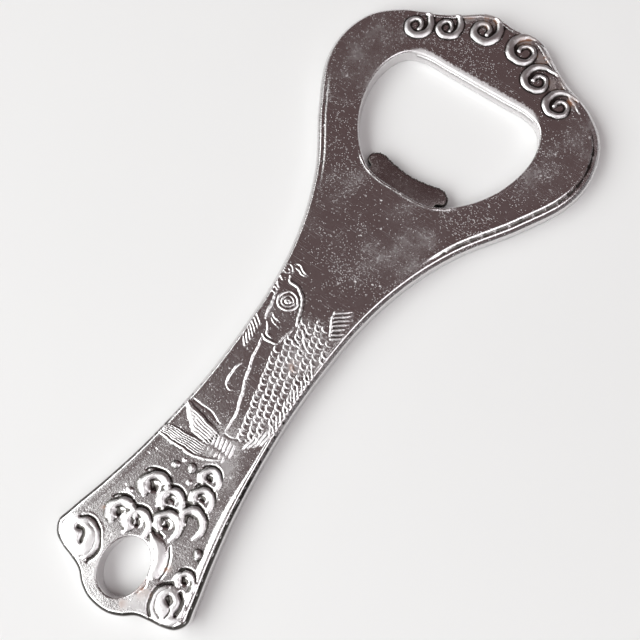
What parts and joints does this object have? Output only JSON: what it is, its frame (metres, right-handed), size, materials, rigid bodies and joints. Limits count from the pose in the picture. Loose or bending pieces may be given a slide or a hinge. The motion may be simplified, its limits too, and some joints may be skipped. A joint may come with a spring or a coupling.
{
  "type": "bottle opener",
  "caption": "Flat cast bottle opener: wide head with a crown-cap mouth and steel lip, scroll edge, carp and wave relief on a waisted handle, and a hanging hole.",
  "frame": {"origin": "middle of the opener's length and width, on its flat back", "axes": "+X across the opener, +Y along it from the hanging hole to the head, +Z out of the decorated face"},
  "size_m": [0.054, 0.126, 0.0038],
  "materials": {
    "plated_casting": "bright plating over a cast surface, finely pitted and scratched, tarnished in the hollows",
    "lip_steel": "plated steel with a rough sheared edge"
  },
  "bodies": {
    "root": {"opener_body": "plated_casting", "cap_lip_insert": "lip_steel"}
  },
  "joints": []
}
